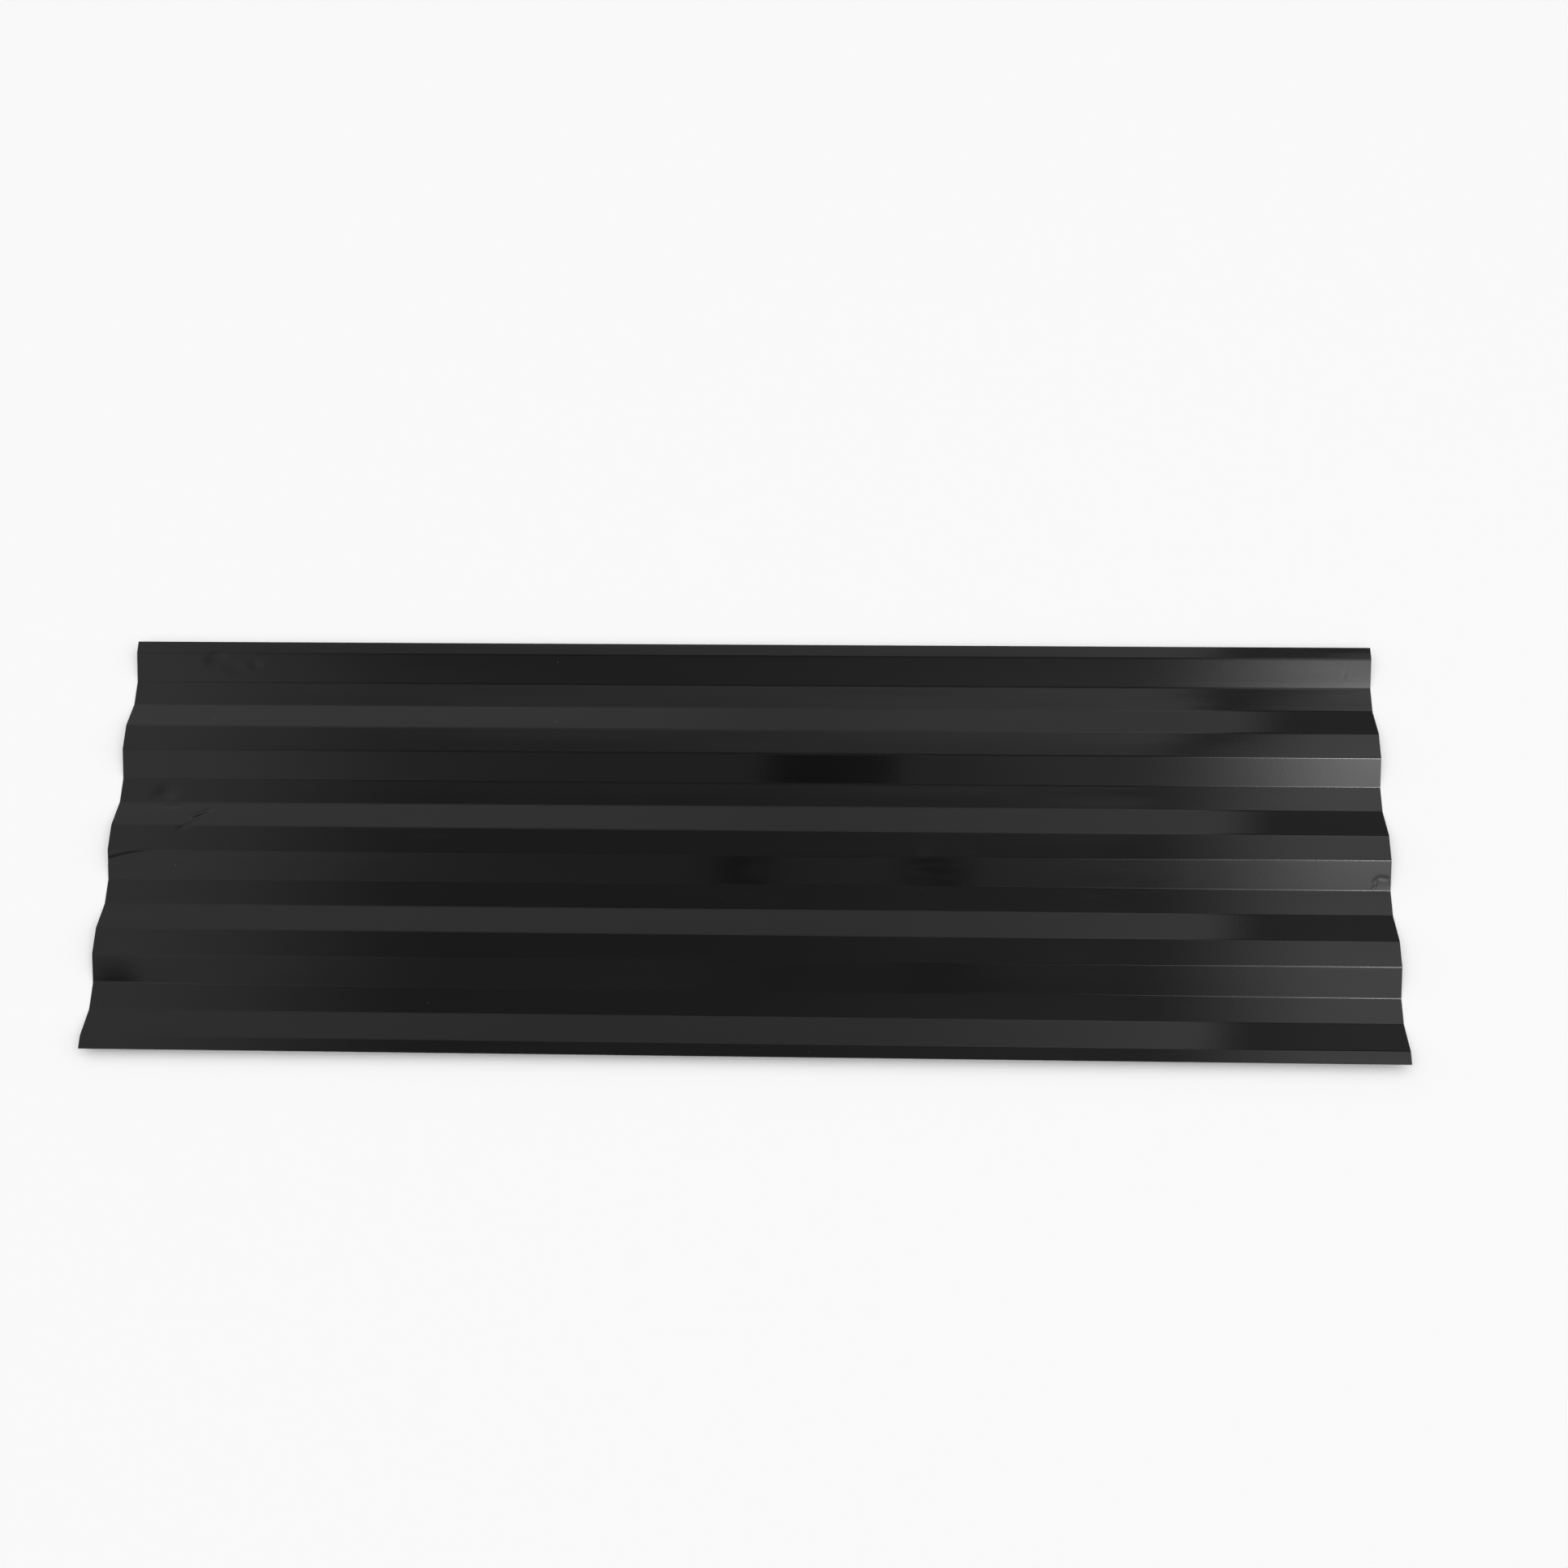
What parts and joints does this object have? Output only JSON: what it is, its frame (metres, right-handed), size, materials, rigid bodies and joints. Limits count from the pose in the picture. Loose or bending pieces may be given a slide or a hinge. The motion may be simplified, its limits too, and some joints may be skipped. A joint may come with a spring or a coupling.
{
  "type": "ribbed kick plate",
  "caption": "Long rectangular kick plate of thin black painted steel, roll-formed into shallow trapezoidal ribs, to screw along the foot of a gate, fence or door.",
  "frame": {"origin": "middle of the sheet, on the plane that the backs of its four valleys rest on", "axes": "+X along the ribs, +Y across the ribs, +Z out of the painted face, the way the ribs stand up"},
  "size_m": [1.29, 0.4362, 0.0113],
  "materials": {
    "black_paint": "satin"
  },
  "bodies": {
    "root": {"ribbed_sheet": "black_paint"}
  },
  "joints": []
}
